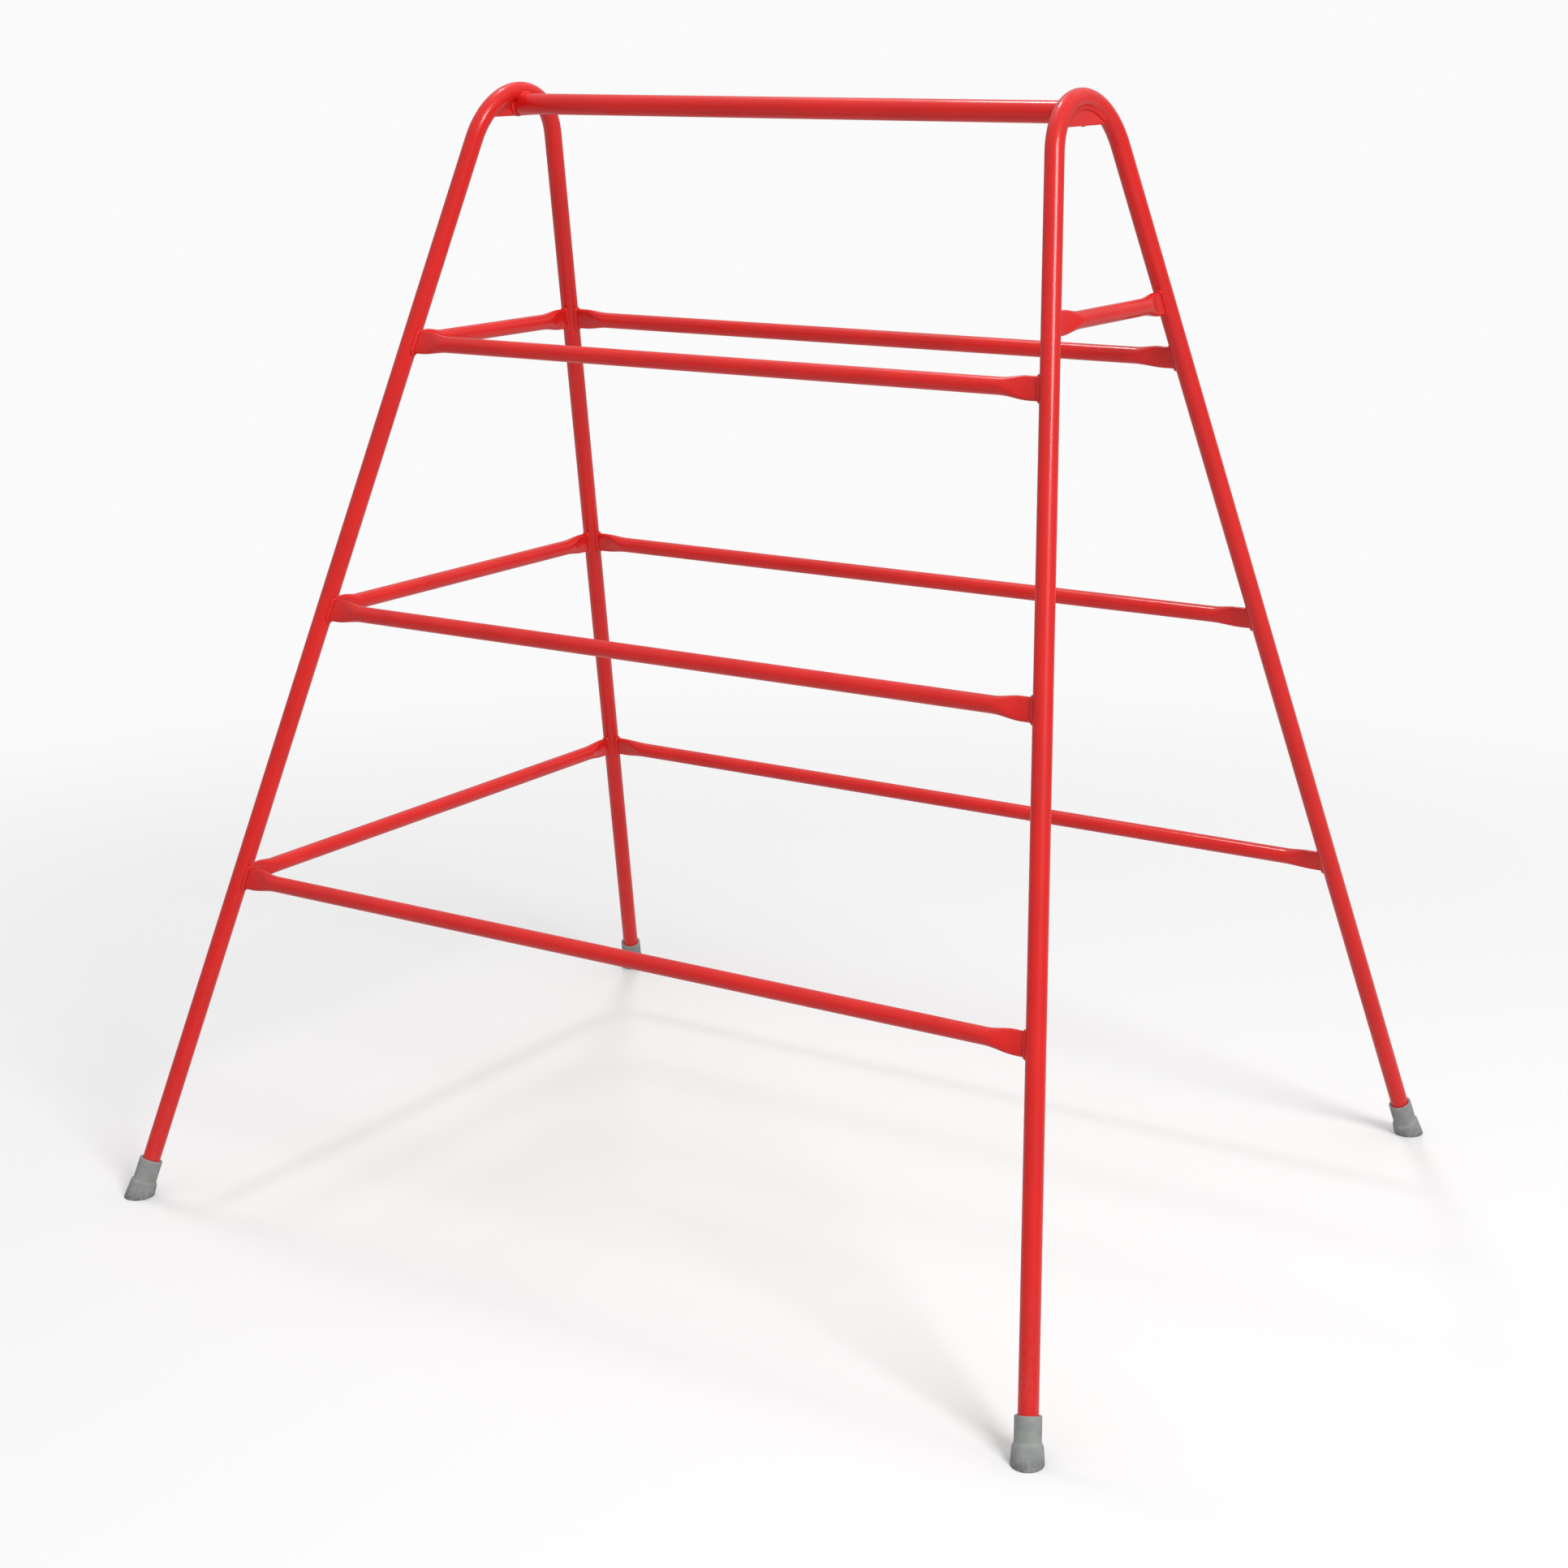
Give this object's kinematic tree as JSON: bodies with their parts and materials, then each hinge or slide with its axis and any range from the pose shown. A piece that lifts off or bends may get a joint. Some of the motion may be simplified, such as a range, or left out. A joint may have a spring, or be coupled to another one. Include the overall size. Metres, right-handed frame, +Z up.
{
  "type": "climbing trestle",
  "caption": "Welded steel-tube climbing trestle: splayed hoops joined by a top rail and side rails, on rubber feet, with an open end so that trestles nest.",
  "frame": {"origin": "on the floor, below the middle of the trestle", "axes": "+X along the top rail towards the open end, +Y from the front legs to the back legs, +Z up"},
  "size_m": [1.3212, 1.1022, 1.3698],
  "materials": {
    "red_powder_coat": "gloss powder coat",
    "grey_rubber": "matt moulded rubber",
    "bare_steel": "plated"
  },
  "bodies": {
    "root": {"left_hoop": "red_powder_coat", "right_hoop": "red_powder_coat", "left_crown_plate": "red_powder_coat", "right_crown_plate": "red_powder_coat", "top_rail": "red_powder_coat", "front_rail_low": "red_powder_coat", "front_rail_mid": "red_powder_coat", "front_rail_high": "red_powder_coat", "back_rail_low": "red_powder_coat", "back_rail_mid": "red_powder_coat", "back_rail_high": "red_powder_coat", "left_bar_low": "red_powder_coat", "left_bar_mid": "red_powder_coat", "left_bar_high": "red_powder_coat", "right_bar": "red_powder_coat", "foot_front_left": "grey_rubber", "foot_front_right": "grey_rubber", "foot_back_left": "grey_rubber", "foot_back_right": "grey_rubber", "washer_front_left": "bare_steel", "washer_front_right": "bare_steel", "washer_back_left": "bare_steel", "washer_back_right": "bare_steel"}
  },
  "joints": []
}
